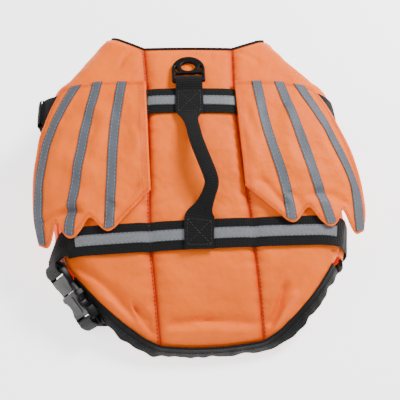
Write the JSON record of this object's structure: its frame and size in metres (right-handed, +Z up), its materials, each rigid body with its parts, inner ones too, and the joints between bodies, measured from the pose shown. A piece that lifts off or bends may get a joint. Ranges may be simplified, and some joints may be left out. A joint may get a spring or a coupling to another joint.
{
  "type": "dog life jacket",
  "caption": "Padded orange dog life jacket with a pair of wings, webbing belts with side-release buckles, a lifting handle, a D-ring and reflective tape, lying filled out on its belly",
  "frame": {"origin": "On the surface that the jacket lies on, straight below the point where the spine line crosses the middle of the waist belt. The jacket lies on its belly.", "axes": "+Z up; +Y along the spine towards the neck, as the dog faces; +X to the dog's right side. The garment is mirror-like about X = 0 but for its buckles on the left, the bow of its handle and a slight twist of its front half."},
  "size_m": [0.3096, 0.3181, 0.0975],
  "materials": {
    "back_centre": "satin nylon cloth",
    "back_left": "satin nylon cloth",
    "back_right": "satin nylon cloth",
    "flap_left": "satin nylon cloth",
    "flap_right": "satin nylon cloth",
    "throat_tab_left": "satin nylon cloth",
    "throat_tab_right": "satin nylon cloth",
    "wing_left": "satin nylon cloth",
    "wing_right": "satin nylon cloth",
    "wing_stripe_left_inner": "woven reflective tape",
    "wing_stripe_left_middle": "woven reflective tape",
    "wing_stripe_left_outer": "woven reflective tape",
    "wing_stripe_right_inner": "woven reflective tape",
    "wing_stripe_right_middle": "woven reflective tape",
    "wing_stripe_right_outer": "woven reflective tape",
    "chest_tape": "woven reflective tape",
    "waist_tape": "woven reflective tape",
    "chest_belt": "ribbed webbing",
    "waist_belt": "ribbed webbing",
    "handle_strap": "ribbed webbing",
    "neck_binding": "folded binding tape",
    "hem_binding": "folded binding tape",
    "armhole_binding_left": "folded binding tape",
    "armhole_binding_right": "folded binding tape",
    "flap_binding_left": "folded binding tape",
    "flap_binding_right": "folded binding tape",
    "d_ring": "moulded, low sheen",
    "waist_buckle_plug": "moulded, low sheen",
    "waist_buckle_socket": "moulded, low sheen",
    "chest_buckle_plug": "moulded, low sheen",
    "chest_buckle_socket": "moulded, low sheen"
  },
  "bodies": {
    "jacket": {"back_centre": "back_centre", "back_left": "back_left", "back_right": "back_right", "flap_left": "flap_left", "flap_right": "flap_right", "throat_tab_left": "throat_tab_left", "throat_tab_right": "throat_tab_right", "wing_left": "wing_left", "wing_right": "wing_right", "wing_stripe_left_inner": "wing_stripe_left_inner", "wing_stripe_left_middle": "wing_stripe_left_middle", "wing_stripe_left_outer": "wing_stripe_left_outer", "wing_stripe_right_inner": "wing_stripe_right_inner", "wing_stripe_right_middle": "wing_stripe_right_middle", "wing_stripe_right_outer": "wing_stripe_right_outer", "chest_tape": "chest_tape", "waist_tape": "waist_tape", "chest_belt": "chest_belt", "waist_belt": "waist_belt", "handle_strap": "handle_strap", "neck_binding": "neck_binding", "hem_binding": "hem_binding", "armhole_binding_left": "armhole_binding_left", "armhole_binding_right": "armhole_binding_right", "flap_binding_left": "flap_binding_left", "flap_binding_right": "flap_binding_right", "waist_buckle_plug": "waist_buckle_plug", "waist_buckle_socket": "waist_buckle_socket", "chest_buckle_plug": "chest_buckle_plug", "chest_buckle_socket": "chest_buckle_socket"},
    "ring": {"d_ring": "d_ring"}
  },
  "joints": [
    {"name": "ring_hinge", "type": "hinge", "parent": "jacket", "child": "ring", "pos_m": [-0.0044, 0.1465, 0.09237], "axis": [1, 0, 0], "range_deg": [0, 110]}
  ]
}
